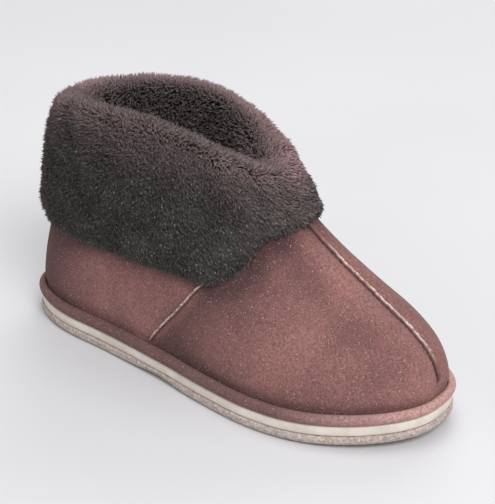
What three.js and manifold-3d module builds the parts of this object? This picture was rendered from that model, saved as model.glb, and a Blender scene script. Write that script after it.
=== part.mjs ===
// A sheepskin bootee slipper for the right foot: a suede upper with raised seams, a deep fur
// cuff turned down over it, a padded rand round its foot, and a foam midsole on a crepe outsole.
// Millimetres. +X points to the toe, +Y to the inner side of the foot and +Z up.
// The origin lies on the floor, under the middle of the slipper's length and width.
import * as THREE from 'three';
import { mergeVertices } from 'three/addons/utils/BufferGeometryUtils.js';
import Module from 'manifold-3d';

// Overall sizes, measured over the rand.
const slipperLength = 275;
const heelWidth = 82;
const waistWidth = 88;
const ballWidth = 111;
const toeWidth = 106;
const toeSwing = 5; // how far the toe's tip leans to the inner side

// Layers under the foot.
const outsoleThickness = 5.6;
const midsoleThickness = 6.4;
const insoleThickness = 7;
const insoleRound = 3; // how far its top edge is drawn in
const toeSpring = 5; // lift of the sole at the toe's tip
const archRise = 2; // hollow under the waist of the outsole
const soleEdgeRound = 2.6; // how far the outsole's lower edge is drawn in
const soleStep = 0.7; // how far the outsole stands proud of the midsole
const grooveWidth = 2.6;
const grooveDepth = 1.2;
const groovePitch = 9;

// Upper, rand and seams.
const rimHeight = 128; // top of the suede leg, hidden in the cuff
const wall = 2.5;
const randDepth = 5; // how far the rand stands out from the upper
const randHeight = 7;
const seamWidth = 2.5;
const seamRise = 1.6;

// Fur cuff.
const furDepth = 15; // outside the leg
const furInside = 10; // inside the leg
const furRise = 20; // above the suede leg's top
const lockLength = 26;
const lockWidth = 19;
const lockRise = 2;
const lockOverhang = 0.1; // past the hem, as a share of the cuff section's first step
const clumpRise = 0.9; // soft swells of the fur between the locks

// Plan of the suede leg's top, inside the cuff.
const legWidth = 58;

// Clearance between pieces that touch, and how finely the forms are cut up.
const gap = 0.3;
const ringSteps = 48;

const featherHeight = outsoleThickness + midsoleThickness; // top of the sole's layers
const halfLength = slipperLength / 2 - randDepth; // of the feather line, the upper's lower edge

// Half widths of the feather line along the foot, 0 at the heel and 1 at the toe,
// as shares of half of the width that each row names.
const footPlan = [
  { t: 0, width: heelWidth, inner: 1.22, outer: 1.22 },
  { t: 0.12, width: heelWidth, inner: 1.16, outer: 1.16 },
  { t: 0.26, width: heelWidth, inner: 1.04, outer: 1.04 },
  { t: 0.43, width: waistWidth, inner: 0.87, outer: 1.03 },
  { t: 0.56, width: ballWidth, inner: 0.8, outer: 0.93 },
  { t: 0.68, width: ballWidth, inner: 0.98, outer: 1.05 },
  { t: 0.8, width: ballWidth, inner: 1.09, outer: 1.12 },
  { t: 0.9, width: toeWidth, inner: 1.12, outer: 1.14 },
  { t: 1, width: toeWidth, inner: 1.02, outer: 1.04 },
];

// Half widths of the leg's top, along its own length, as shares of half the leg's width.
const legPlan = [
  { t: 0, width: legWidth, inner: 1.0, outer: 1.0 },
  { t: 0.3, width: legWidth, inner: 1.02, outer: 1.02 },
  { t: 0.6, width: legWidth, inner: 1.0, outer: 1.0 },
  { t: 1, width: legWidth, inner: 0.82, outer: 0.82 },
];

// Rings of the upper from its feather line (t 0) to the leg's top (t 1). Ends are shares of
// halfLength, heights are shares of the leg's height over the sole, and leg is how far the
// ring's plan has turned from the foot's plan into the leg's.
const upperRings = [
  { t: 0, front: 1.0, back: 1.0, zFront: 0, zSide: 0, zBack: 0, leg: 0 },
  { t: 0.1, front: 1.008, back: 1.012, zFront: 0.08, zSide: 0.09, zBack: 0.09, leg: -0.03 },
  { t: 0.2, front: 0.997, back: 1.005, zFront: 0.165, zSide: 0.185, zBack: 0.19, leg: 0.03 },
  { t: 0.3, front: 0.957, back: 0.99, zFront: 0.26, zSide: 0.27, zBack: 0.285, leg: 0.12 },
  { t: 0.4, front: 0.875, back: 0.972, zFront: 0.36, zSide: 0.355, zBack: 0.37, leg: 0.25 },
  { t: 0.5, front: 0.765, back: 0.953, zFront: 0.455, zSide: 0.435, zBack: 0.46, leg: 0.42 },
  { t: 0.6, front: 0.65, back: 0.935, zFront: 0.55, zSide: 0.51, zBack: 0.55, leg: 0.58 },
  { t: 0.7, front: 0.53, back: 0.918, zFront: 0.645, zSide: 0.6, zBack: 0.64, leg: 0.73 },
  { t: 0.8, front: 0.415, back: 0.902, zFront: 0.745, zSide: 0.71, zBack: 0.75, leg: 0.86 },
  { t: 0.9, front: 0.32, back: 0.878, zFront: 0.84, zSide: 0.84, zBack: 0.87, leg: 0.95 },
  { t: 1, front: 0.25, back: 0.85, zFront: 0.91, zSide: 1, zBack: 0.985, leg: 1 },
];

// The cuff's hem on the upper, from the heel (t 0) round to the throat (t 1), as the upper's t.
const hemLine = [
  { t: 0, at: 0.49 },
  { t: 0.25, at: 0.54 },
  { t: 0.5, at: 0.6 },
  { t: 0.66, at: 0.62 },
  { t: 0.8, at: 0.715 },
  { t: 0.9, at: 0.81 },
  { t: 1, at: 0.85 },
];

// Depth of the fur from the heel (t 0) to the throat (t 1), as shares of furDepth outside the
// leg and of furInside within it, where a thick roll closes each end of the mouth.
const furPlan = [
  { t: 0, outside: 0.62, inside: 2.2 },
  { t: 0.15, outside: 0.8, inside: 1.5 },
  { t: 0.4, outside: 1, inside: 1 },
  { t: 0.75, outside: 1, inside: 1.15 },
  { t: 1, outside: 0.72, inside: 2.5 },
];

// The cuff's section from the hem, over the top and down inside: climb is 0 at the hem and 1
// at the leg's top, rise is a share of furRise, and out is a share of furDepth or furInside.
const cuffSection = [
  { climb: 0, rise: -0.1, out: 0.32 },
  { climb: 0.09, rise: 0, out: 0.62 },
  { climb: 0.32, rise: 0, out: 0.9 },
  { climb: 0.62, rise: 0, out: 1 },
  { climb: 0.9, rise: 0.1, out: 0.92 },
  { climb: 1, rise: 0.55, out: 0.64 },
  { climb: 1, rise: 0.9, out: 0.28 },
  { climb: 1, rise: 0.94, out: -0.2 },
  { climb: 1, rise: 0.66, out: -0.66 },
  { climb: 0.94, rise: 0.1, out: -0.98 },
  { climb: 0.6, rise: 0, out: -1 },
  { climb: 0.3, rise: 0, out: -0.6 },
];

// Swell of the fur's top round the mouth, as a share of furRise.
const crestWave = [
  { t: 0, wave: -0.2 },
  { t: 0.1, wave: -0.08 },
  { t: 0.25, wave: 0.08 },
  { t: 0.45, wave: 0.2 },
  { t: 0.65, wave: 0.14 },
  { t: 0.85, wave: -0.1 },
  { t: 1, wave: -0.3 },
];

// Seams as lines on the upper: angle in degrees round from the toe, at the upper's t.
const seamLines = {
  vamp: [
    { t: 0.15, angle: 0 },
    { t: 0.9, angle: 0 },
  ],
  outerSide: [
    { t: 0.09, angle: -102.5 },
    { t: 0.3, angle: -94 },
    { t: 0.47, angle: -84 },
    { t: 0.6, angle: -73.5 },
    { t: 0.7, angle: -63 },
  ],
  innerSide: [
    { t: 0.09, angle: 102.5 },
    { t: 0.3, angle: 94 },
    { t: 0.47, angle: 84 },
    { t: 0.6, angle: 73.5 },
    { t: 0.7, angle: 63 },
  ],
};

// Column `name` of a table at t, on a smooth curve through its rows.
function lookup(rows, t, name) {
  const last = rows.length - 1;
  let i = 0;
  while (i < last - 1 && t > rows[i + 1].t) i += 1;
  const value = (j) => (typeof name === 'function' ? name(rows[j]) : rows[j][name]);
  const slope = (j) => {
    const low = Math.max(j - 1, 0);
    const high = Math.min(j + 1, last);
    return (value(high) - value(low)) / (rows[high].t - rows[low].t);
  };
  const span = rows[i + 1].t - rows[i].t;
  const u = Math.min(Math.max((t - rows[i].t) / span, 0), 1);
  const rise = value(i + 1) - value(i);
  const lead = slope(i) * span;
  const trail = slope(i + 1) * span;
  return value(i) + u * (lead + u * (3 * rise - 2 * lead - trail + u * (lead + trail - 2 * rise)));
}

const mix = (a, b, share) => a + (b - a) * share;

// Lift of everything over the sole's toe spring, at x.
function lift(x) {
  const start = 0.68;
  const along = (x / halfLength + 1) / 2;
  const share = Math.max(0, (along - start) / (1 - start));
  return toeSpring * share ** 2;
}

// Sideways lean of the form's centre line, at x.
function lean(x) {
  const share = Math.max(0, x / halfLength);
  return toeSwing * share ** 2;
}

// A point of a ring, at an angle from the toe. grow moves the ring outwards in plan.
function ringPoint(ring, angle, grow = 0) {
  const squareness = 0.78; // below 1 fills the ring's corners out from an ellipse
  const along = Math.cos(angle);
  const across = Math.sin(angle);
  const front = ring.front * halfLength + grow;
  const back = -ring.back * halfLength - grow;
  const x = mix(back, front, (1 + along) / 2);
  const side = across < 0 ? 'outer' : 'inner';
  const half = (row) => (row[side] * row.width) / 2;
  const t = (1 + along) / 2;
  const foot = lookup(footPlan, t, half) - randDepth;
  const leg = lookup(legPlan, t, half);
  const reach = Math.sign(across) * Math.abs(across) ** squareness;
  const y = lean(x) + reach * (mix(foot, leg, ring.leg) + grow);
  const end = along > 0 ? ring.zFront : ring.zBack;
  const share = mix(ring.zSide, end, Math.abs(along) ** 1.7);
  const z = featherHeight + share * (rimHeight - featherHeight);
  return new THREE.Vector3(x, y, z + lift(x));
}

// The upper's ring at t, as a row like those of its table.
function upperRing(t) {
  const ring = {};
  for (const name of ['front', 'back', 'zFront', 'zSide', 'zBack', 'leg']) {
    ring[name] = lookup(upperRings, t, name);
  }
  return ring;
}

const upperPoint = (t, angle, grow) => ringPoint(upperRing(t), angle, grow);

// The upper's outward normal at t and angle.
function upperNormal(t, angle) {
  const step = 0.01;
  const low = Math.max(t - step, 0);
  const high = Math.min(t + step, 1);
  const up = upperPoint(high, angle).sub(upperPoint(low, angle));
  const round = upperPoint(t, angle + step).sub(upperPoint(t, angle - step));
  return round.cross(up).normalize();
}

// A ring of points, one for each of ringSteps angles from the toe.
function around(pointAt) {
  return Array.from({ length: ringSteps }, (_, i) => pointAt((i / ringSteps) * 2 * Math.PI));
}

const wasm = await Module();
wasm.setup();

// A closed three.js geometry as a solid for joining and cutting.
function solidOf(geometry) {
  const bare = geometry.clone();
  bare.deleteAttribute('normal');
  bare.deleteAttribute('uv');
  const merged = mergeVertices(bare, 1e-4);
  return new wasm.Manifold(
    new wasm.Mesh({
      numProp: 3,
      vertProperties: merged.attributes.position.array,
      triVerts: new Uint32Array(merged.index.array),
    }),
  );
}

function geometryOf(solid) {
  const mesh = solid.getMesh();
  const geometry = new THREE.BufferGeometry();
  geometry.setAttribute('position', new THREE.BufferAttribute(mesh.vertProperties, 3));
  geometry.setIndex(new THREE.BufferAttribute(mesh.triVerts, 1));
  geometry.computeVertexNormals();
  return geometry;
}

// A geometry from points and triangles, turned to face outwards.
function faced(points, triangles) {
  let volume = 0;
  for (const [a, b, c] of triangles) {
    volume += points[a].dot(points[b].clone().cross(points[c]));
  }
  const index = triangles.flatMap(([a, b, c]) => (volume < 0 ? [a, c, b] : [a, b, c]));
  const geometry = new THREE.BufferGeometry().setFromPoints(points);
  geometry.setIndex(index);
  return geometry;
}

// Triangles between two rings that start at vertex numbers low and high.
function band(low, high, count) {
  const triangles = [];
  for (let i = 0; i < count; i += 1) {
    const next = (i + 1) % count;
    triangles.push([low + i, low + next, high + next], [low + i, high + next, high + i]);
  }
  return triangles;
}

// A solid between rings: the last ring joins the first one.
function hoop(rings) {
  const count = rings[0].length;
  const triangles = rings.flatMap((_, k) => band(k * count, ((k + 1) % rings.length) * count, count));
  return faced(rings.flat(), triangles);
}

// A solid between rings, closed across at its first and last ring from side to side.
function slab(rings) {
  const count = rings[0].length;
  const triangles = [];
  for (let k = 0; k < rings.length - 1; k += 1) {
    triangles.push(...band(k * count, (k + 1) * count, count));
  }
  const cover = (start, turned) => {
    for (let i = 0; i < count / 2; i += 1) {
      const quad = [i, i + 1, (count - i - 1) % count, (count - i) % count].map((n) => start + n);
      for (const face of [[0, 1, 2], [0, 2, 3]]) {
        const [a, b, c] = face.map((n) => quad[n]);
        if (a !== b && b !== c && a !== c) triangles.push(turned ? [a, b, c] : [a, c, b]);
      }
    }
  };
  cover(0, false);
  cover((rings.length - 1) * count, true);
  return faced(rings.flat(), triangles);
}

// The upper's wall, or with a clearance the room that it takes up.
function upperShell(clearance) {
  const levels = upperRings.map((row) => row.t);
  const offset = (t, angle, distance, rise) => {
    const point = upperPoint(t, angle);
    const moved = point.clone().addScaledVector(upperNormal(t, angle), distance);
    return moved.setZ((t === 0 ? point.z : moved.z) + rise);
  };
  const endRise = (t) => (t === 1 ? clearance : 0);
  const floor = (t) => (t === 0 ? gap - clearance : 0);
  const face = (distance) =>
    levels.map((t) => around((angle) => offset(t, angle, distance, endRise(t) + floor(t))));
  return solidOf(hoop([...face(clearance), ...face(-wall - clearance).reverse()]));
}

// A raised seam: a rounded strip that follows a line on the upper, sunk a little into its wall.
function seamRidge(line, clearance) {
  const steps = 15;
  const half = seamWidth / 2 + clearance;
  const profile = [
    [-half, -wall / 3],
    [-half, seamRise * 0.55 + clearance],
    [-half / 2, seamRise + clearance],
    [half / 2, seamRise + clearance],
    [half, seamRise * 0.55 + clearance],
    [half, -wall / 3],
  ];
  const frameAt = (share) => {
    const t = mix(line[0].t, line[line.length - 1].t, share);
    const angle = THREE.MathUtils.degToRad(lookup(line, t, 'angle'));
    return { point: upperPoint(t, angle), normal: upperNormal(t, angle) };
  };
  const rings = Array.from({ length: steps + 1 }, (_, i) => {
    const here = frameAt(i / steps);
    const before = frameAt(Math.max(i - 0.5, 0) / steps).point;
    const after = frameAt(Math.min(i + 0.5, steps) / steps).point;
    const along = after.sub(before).normalize();
    const sideways = along.clone().cross(here.normal).normalize();
    const end = (i === steps ? 1 : 0) - (i === 0 ? 1 : 0);
    here.point.addScaledVector(along, end * clearance);
    return profile.map(([across, out]) =>
      here.point.clone().addScaledVector(sideways, across).addScaledVector(here.normal, out),
    );
  });
  const count = profile.length;
  const triangles = [];
  for (let k = 0; k < steps; k += 1) triangles.push(...band(k * count, (k + 1) * count, count));
  for (let i = 1; i < count - 1; i += 1) {
    const end = steps * count;
    triangles.push([0, i + 1, i], [end, end + i, end + i + 1]);
  }
  return solidOf(faced(rings.flat(), triangles));
}

function upperSolid(clearance = 0) {
  const ridges = Object.values(seamLines).map((line) => seamRidge(line, clearance));
  return ridges.reduce((solid, ridge) => solid.add(ridge), upperShell(clearance));
}

// A number from 0 up to 1 that looks random but is the same for the same seed.
function scatter(seed) {
  const wild = Math.sin(seed * 12.9898 + 4.1414) * 43758.5453;
  return wild - Math.floor(wild);
}

const angleShare = (angle) => (1 + Math.cos(angle)) / 2;

// A point of the fur's surface: a row of the cuff's section at an angle.
function furPoint(row, angle) {
  const t = angleShare(angle);
  const outside = furDepth * lookup(furPlan, t, 'outside');
  const inside = furInside * lookup(furPlan, t, 'inside');
  const clump = clumpRise * Math.sin(11 * angle + 7 * row.climb) * Math.sin(5 * angle - 4 * row.out);
  const grow = row.out > 0 ? row.out * outside + clump : row.out * inside - wall;
  const point = upperPoint(mix(lookup(hemLine, t, 'at'), 1, row.climb), angle, grow);
  const wave = row.climb > 0.85 ? 1 + lookup(crestWave, t, 'wave') : 1;
  return point.setZ(point.z + row.rise * wave * furRise);
}

// The fur's surface between the section's rows: v runs from 0 to the last row's number.
function furSurface(v, angle) {
  const low = Math.max(0, Math.min(Math.floor(v), cuffSection.length - 2));
  return furPoint(cuffSection[low], angle).lerp(furPoint(cuffSection[low + 1], angle), v - low);
}

// The surface at v and angle, its directions there, and how many millimetres v moves it by.
function furFrame(v, angle) {
  const step = 0.04;
  const point = furSurface(v, angle);
  const round = furSurface(v, angle + step).sub(furSurface(v, angle - step)).normalize();
  const climb = furSurface(v + step, angle).sub(furSurface(v - step, angle));
  const speed = climb.length() / (2 * step);
  const out = round.clone().cross(climb).normalize();
  return { point, round, out, speed };
}

// A lock of wool along its length: its width and rise are shares of lockWidth and lockRise.
const lockShape = [
  { along: 0, width: 0.6, rise: 0.05 },
  { along: 0.55, width: 1, rise: 1 },
  { along: 1, width: 0.45, rise: 0.6 },
];

// One lock, combed down the fur's surface from v.
function furLock(v, angle, seed) {
  const size = 0.85 + 0.3 * scatter(seed);
  const drift = 0.06 * (scatter(seed + 7) - 0.5);
  const length = -Math.min((lockLength * size) / furFrame(v, angle).speed, v + lockOverhang);
  const rings = lockShape.map(({ along, width, rise }) => {
    const { point, round, out } = furFrame(v + along * length, angle + along * drift);
    const half = (width * lockWidth * size) / 2;
    const at = (across, height) =>
      point.clone().addScaledVector(round, across).addScaledVector(out, height * lockRise);
    return [at(-half, -0.7), at(-0.6 * half, 0.7 * rise), at(0, rise), at(0.6 * half, 0.7 * rise), at(half, -0.7)];
  });
  const count = rings[0].length;
  const end = (rings.length - 1) * count;
  const triangles = rings.slice(1).flatMap((_, k) => band(k * count, (k + 1) * count, count));
  for (let i = 1; i < count - 1; i += 1) {
    triangles.push([0, i + 1, i], [end, end + i, end + i + 1]);
  }
  return solidOf(faced(rings.flat(), triangles));
}

// Rows of locks: v on the section, and how many go round.
const lockRows = [
  { v: 1.45, count: 21 },
  { v: 3.3, count: 19 },
];

function cuffSolid(room) {
  const inWall = (climb) =>
    around((angle) => {
      const hem = lookup(hemLine, angleShare(angle), 'at');
      return upperPoint(mix(hem, 1, climb), angle, -wall / 2);
    });
  const rings = cuffSection.map((row) => around((angle) => furPoint(row, angle)));
  const last = cuffSection[cuffSection.length - 1].climb;
  const hidden = [inWall(last), inWall(last / 2), inWall(0)];
  const fur = solidOf(hoop([...rings, ...hidden]));
  const locks = lockRows.flatMap(({ v, count }, k) =>
    Array.from({ length: count }, (_, i) => {
      const seed = 37 * k + i;
      const turn = (i + 0.5 * (k % 2) + 0.3 * (scatter(seed + 3) - 0.5)) / count;
      return furLock(v + 0.3 * (scatter(seed + 5) - 0.5), turn * 2 * Math.PI, seed);
    }),
  );
  return locks.reduce((solid, lock) => solid.add(lock), fur).subtract(room);
}

// The rand's top edge as the upper's t, from the upper's first ring.
const [feather, firstRing] = upperRings;
const firstHeight = firstRing.zSide * (rimHeight - featherHeight);
const randTop = mix(feather.t, firstRing.t, randHeight / firstHeight);

// Half-round section of the rand, as shares of its height and its depth.
const randSection = [
  { rise: 0, out: 0.72 },
  { rise: 0.22, out: 0.95 },
  { rise: 0.52, out: 1 },
  { rise: 0.8, out: 0.82 },
  { rise: 1, out: 0.42 },
];

// A ring that follows the feather line, grown in plan and raised from the sole's top.
function footRing(grow, rise) {
  return around((angle) => {
    const point = upperPoint(0, angle, grow);
    return point.setZ(point.z + rise);
  });
}

function randSolid(room) {
  const ring = (rise, grow) =>
    around((angle) => {
      const point = upperPoint(rise * randTop, angle, grow);
      return point.setZ(point.z + gap * (1 - rise));
    });
  const face = randSection.map(({ rise, out }) => ring(rise, out * randDepth));
  return solidOf(hoop([...face, ring(1, -wall / 2), ring(0, -wall / 2)])).subtract(room);
}

function midsoleGeometry() {
  const edge = randDepth - soleStep - 0.5;
  const bottom = gap - midsoleThickness;
  return slab([
    footRing(edge - 0.4, bottom),
    footRing(edge, bottom * 0.75),
    footRing(edge, bottom * 0.2),
    footRing(edge - 0.5, 0),
  ]);
}

// Height of the outsole's underside over the floor, less the toe spring, at x.
function archHeight(x) {
  const [start, end] = [-0.36, 0.04];
  const share = (x / halfLength - start) / (end - start);
  return share > 0 && share < 1 ? archRise * Math.sin(share * Math.PI) ** 2 : 0;
}

function outsoleSolid() {
  const edge = randDepth - 0.5;
  const under = (grow, rise) =>
    footRing(grow, -featherHeight + rise).map((p) => p.setZ(p.z + archHeight(p.x)));
  const body = solidOf(
    slab([
      under(edge - soleEdgeRound, 0),
      under(edge - soleEdgeRound * 0.3, outsoleThickness * 0.2),
      under(edge, outsoleThickness * 0.5),
      footRing(edge, -midsoleThickness - 0.6),
      footRing(edge - 0.6, -midsoleThickness),
    ]),
  );
  const groove = (x) => {
    const bar = new THREE.BoxGeometry(grooveWidth, ballWidth * 0.62, 2 * grooveDepth);
    bar.translate(x, lean(x), 0);
    return solidOf(bar);
  };
  const zones = [
    { start: -0.82, end: -0.46 },
    { start: 0.1, end: 0.34 },
  ];
  const places = zones.flatMap(({ start, end }) => {
    const count = Math.floor(((end - start) * halfLength) / groovePitch);
    return Array.from({ length: count + 1 }, (_, i) => start * halfLength + i * groovePitch);
  });
  return places.reduce((solid, x) => solid.subtract(groove(x)), body);
}

function insoleGeometry() {
  const edge = -wall - 3 * gap;
  return slab([
    footRing(edge - insoleRound * 0.33, gap),
    footRing(edge, insoleThickness * 0.35),
    footRing(edge - insoleRound * 0.13, insoleThickness * 0.8),
    footRing(edge - insoleRound, insoleThickness),
  ]);
}

const finishes = {
  suede: new THREE.MeshStandardMaterial({ color: '#8b5f5d', roughness: 0.95, metalness: 0 }),
  randSuede: new THREE.MeshStandardMaterial({ color: '#87595a', roughness: 0.95, metalness: 0 }),
  fur: new THREE.MeshStandardMaterial({ color: '#38312f', roughness: 1, metalness: 0 }),
  foam: new THREE.MeshStandardMaterial({ color: '#e6dccd', roughness: 0.7, metalness: 0 }),
  crepe: new THREE.MeshStandardMaterial({ color: '#b9aea6', roughness: 0.85, metalness: 0 }),
  fleece: new THREE.MeshStandardMaterial({ color: '#3b3331', roughness: 1, metalness: 0 }),
};

function piece(name, geometry, finish) {
  const mesh = new THREE.Mesh(geometry, finish);
  mesh.name = name;
  return mesh;
}

const room = upperSolid(gap);
const slipper = new THREE.Group();
slipper.name = 'sheepskin_slipper';
slipper.add(
  piece('outsole', geometryOf(outsoleSolid()), finishes.crepe),
  piece('midsole', midsoleGeometry(), finishes.foam),
  piece('insole', insoleGeometry(), finishes.fleece),
  piece('rand', geometryOf(randSolid(room)), finishes.randSuede),
  piece('upper', geometryOf(upperSolid()), finishes.suede),
  piece('fur_cuff', geometryOf(cuffSolid(room)), finishes.fur),
);

// The slipper is set over the origin: on the floor, centred in length and width.
const extent = new THREE.Box3().setFromObject(slipper);
const middle = extent.getCenter(new THREE.Vector3());
for (const mesh of slipper.children) {
  mesh.geometry.translate(-middle.x, -middle.y, -extent.min.z);
}

export default slipper;
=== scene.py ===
# %% [markdown]
# # A sheepskin bootee slipper
# This lesson dresses one sheepskin slipper, the right one of a pair. Its hard sizes come from a
# CAD model, which is loaded first and fixes the frame: metres, +X to the toe, +Y to the inner
# side of the foot, +Z up, and the floor at z = 0. We then build finer forms of each piece from
# the same few tables that a last maker would use, and give every piece its own finish.

# %% Load the frame
import math
import bmesh
import bpy
import numpy as np
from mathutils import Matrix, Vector


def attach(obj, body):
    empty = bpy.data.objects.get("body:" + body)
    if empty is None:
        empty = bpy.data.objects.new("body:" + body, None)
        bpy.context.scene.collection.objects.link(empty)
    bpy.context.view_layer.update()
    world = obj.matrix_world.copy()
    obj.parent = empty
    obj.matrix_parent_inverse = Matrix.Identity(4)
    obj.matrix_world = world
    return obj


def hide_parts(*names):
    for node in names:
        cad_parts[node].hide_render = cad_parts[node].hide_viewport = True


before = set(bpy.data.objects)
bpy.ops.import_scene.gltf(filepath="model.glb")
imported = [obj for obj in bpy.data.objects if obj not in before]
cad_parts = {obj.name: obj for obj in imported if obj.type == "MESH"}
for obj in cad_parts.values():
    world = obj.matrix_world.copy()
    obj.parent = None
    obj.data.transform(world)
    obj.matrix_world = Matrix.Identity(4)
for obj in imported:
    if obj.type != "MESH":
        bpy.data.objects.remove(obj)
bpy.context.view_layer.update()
print("nodes:", sorted(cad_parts))

# %% [markdown]
# ## Camera
# The slipper was photographed from its outer side, a little in front and above. We keep that
# eye point and only turn the camera so that one slipper fills the picture.

# %% Camera at the photograph's angle
picture_height = 504  # of the photograph, in pixels
eye_azimuth, eye_elevation, eye_distance = math.radians(37), math.radians(28.5), 0.95
eye_aim = Vector((0, 0, 0.05))
pixels_per_unit = 1437.4  # focal length in pixels
aim_pixel = (186.2, 288.3)  # where eye_aim lies in the photograph
centre_pixel = (200, 262)  # where the middle of the slipper lies there
closer = 1.17  # how much nearer our picture is taken than the photograph

back = Vector((
    math.sin(eye_azimuth) * math.cos(eye_elevation),
    -math.cos(eye_azimuth) * math.cos(eye_elevation),
    math.sin(eye_elevation),
))
right = Vector((math.cos(eye_azimuth), math.sin(eye_azimuth), 0))
up = back.cross(right)
gaze = -back + right * (centre_pixel[0] - aim_pixel[0]) / pixels_per_unit
gaze -= up * (centre_pixel[1] - aim_pixel[1]) / pixels_per_unit

lens = bpy.data.cameras.new("camera")
lens.sensor_width = 36
lens.lens = closer * pixels_per_unit / picture_height * lens.sensor_width
camera = bpy.data.objects.new("camera", lens)
camera.location = eye_aim + back * eye_distance
camera.rotation_euler = gaze.to_track_quat("-Z", "Y").to_euler()
bpy.context.scene.collection.objects.link(camera)
bpy.context.scene.camera = camera
print("lens", round(lens.lens, 1), "mm")

# %% [markdown]
# ## The last
# A slipper takes its form from a last. Ours is a stack of rings. The lowest is the feather line,
# where upper meets sole, and the highest is the top of the suede leg inside the cuff. Each table
# holds shares of named sizes, and a smooth curve runs through its rows.

# %% Sizes in millimetres
slipper_length, rand_depth, rand_height, wall = 275, 5, 7, 2.5
heel_width, waist_width, ball_width, toe_width = 82, 88, 111, 106
leg_width, toe_swing = 58, 5
outsole_thickness, midsole_thickness, insole_thickness = 5.6, 6.4, 7
toe_spring, arch_rise, sole_edge_round, sole_step = 5, 2, 2.6, 0.7
rim_height, seam_width, seam_rise = 128, 2.5, 1.6
fur_depth, fur_inside, fur_rise, clump_rise = 15, 10, 20, 0.9
ridge_share, thread_share = 0.26, 0.52  # of seam_width: half a ridge, and the thread's place
gap = 0.3
cross_fullness, end_steepness = 0.78, 1.7  # how full a ring is, and how late its ends rise
spring_start, spring_run = 0.68, 0.32  # shares of the length over which the toe lifts
arch_start, arch_run = -0.36, 0.4  # shares of half_length over which the arch lies
feather_height = outsole_thickness + midsole_thickness
half_length = slipper_length / 2 - rand_depth
to_origin = np.array((0.092, 0.354, 0))  # sets the last over the frame's origin

# %% Tables of the last
def table(columns, *rows):
    """A table as one array for each column."""
    return dict(zip(columns.split(), np.array(rows, float).T))

foot_plan = table("t width inner outer",
    (0, heel_width, 1.22, 1.22),
    (0.12, heel_width, 1.16, 1.16),
    (0.26, heel_width, 1.04, 1.04),
    (0.43, waist_width, 0.87, 1.03),
    (0.56, ball_width, 0.8, 0.93),
    (0.68, ball_width, 0.98, 1.05),
    (0.8, ball_width, 1.09, 1.12),
    (0.9, toe_width, 1.12, 1.14),
    (1, toe_width, 1.02, 1.04))
leg_plan = table("t width inner outer",
    (0, leg_width, 1.0, 1.0),
    (0.3, leg_width, 1.02, 1.02),
    (0.6, leg_width, 1.0, 1.0),
    (1, leg_width, 0.82, 0.82))
upper_rings = table("t front back z_front z_side z_back leg",
    (0, 1.0, 1.0, 0, 0, 0, 0),
    (0.1, 1.008, 1.012, 0.08, 0.09, 0.09, -0.03),
    (0.2, 0.997, 1.005, 0.165, 0.185, 0.19, 0.03),
    (0.3, 0.957, 0.99, 0.26, 0.27, 0.285, 0.12),
    (0.4, 0.875, 0.972, 0.36, 0.355, 0.37, 0.25),
    (0.5, 0.765, 0.953, 0.455, 0.435, 0.46, 0.42),
    (0.6, 0.65, 0.935, 0.55, 0.51, 0.55, 0.58),
    (0.7, 0.53, 0.918, 0.645, 0.6, 0.64, 0.73),
    (0.8, 0.415, 0.902, 0.745, 0.71, 0.75, 0.86),
    (0.9, 0.32, 0.878, 0.84, 0.84, 0.87, 0.95),
    (1, 0.25, 0.85, 0.91, 1, 0.985, 1))
first_height = upper_rings["z_side"][1] * (rim_height - feather_height)
rand_top = upper_rings["t"][1] * rand_height / first_height  # the rand's top edge as a t
print(len(upper_rings["t"]), "rings on the last")

# %% Curves through the tables
def read(rows, t, column):
    """A table's column at t, on a smooth curve through its rows."""
    ts, values = rows["t"], column if isinstance(column, np.ndarray) else rows[column]
    last = len(ts) - 1
    low, high = np.maximum(np.arange(last + 1) - 1, 0), np.minimum(np.arange(last + 1) + 1, last)
    slopes = (values[high] - values[low]) / (ts[high] - ts[low])
    t = np.asarray(t, float)
    i = np.clip(np.searchsorted(ts, t, side="right") - 1, 0, last - 1)
    span = ts[i + 1] - ts[i]
    u = np.clip((t - ts[i]) / span, 0, 1)
    rise = values[i + 1] - values[i]
    lead, trail = slopes[i] * span, slopes[i + 1] * span
    square, cube = 3 * rise - 2 * lead - trail, lead + trail - 2 * rise
    return values[i] + u * (lead + u * (square + u * cube))

def mix(a, b, share):
    return a + (b - a) * share

def bell(x, centre, width):
    """A bell curve, 1 at its centre."""
    return np.exp(-((x - centre) / width) ** 2)

def half_width(rows, t, across):
    """Half of a plan's width at t, on the side that across points to."""
    outer, inner = rows["outer"] * rows["width"] / 2, rows["inner"] * rows["width"] / 2
    return np.where(across < 0, read(rows, t, outer), read(rows, t, inner))

def last_point(t, angle, grow=0):
    """Points of the last at height t and angle from the toe, grown outwards in plan by grow."""
    t, angle, grow = np.broadcast_arrays(np.asarray(t, float), angle, grow)
    ring = {name: read(upper_rings, t, name) for name in upper_rings if name != "t"}
    along, across = np.cos(angle), np.sin(angle)
    share = (1 + along) / 2
    x = mix(-ring["back"] * half_length - grow, ring["front"] * half_length + grow, share)
    foot = half_width(foot_plan, share, across) - rand_depth
    leg = half_width(leg_plan, share, across)
    reach = np.sign(across) * np.abs(across) ** cross_fullness
    y = toe_swing * np.maximum(0, x / half_length) ** 2
    y = y + reach * (mix(foot, leg, ring["leg"]) + grow)
    end = np.where(along > 0, ring["z_front"], ring["z_back"])
    height = mix(ring["z_side"], end, np.abs(along) ** end_steepness)
    spring = np.maximum(0, ((x / half_length + 1) / 2 - spring_start) / spring_run)
    z = feather_height + height * (rim_height - feather_height) + toe_spring * spring ** 2
    return np.stack([x, y, z], -1)

def unit(v):
    return v / np.maximum(np.linalg.norm(v, axis=-1, keepdims=True), 1e-9)

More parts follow.
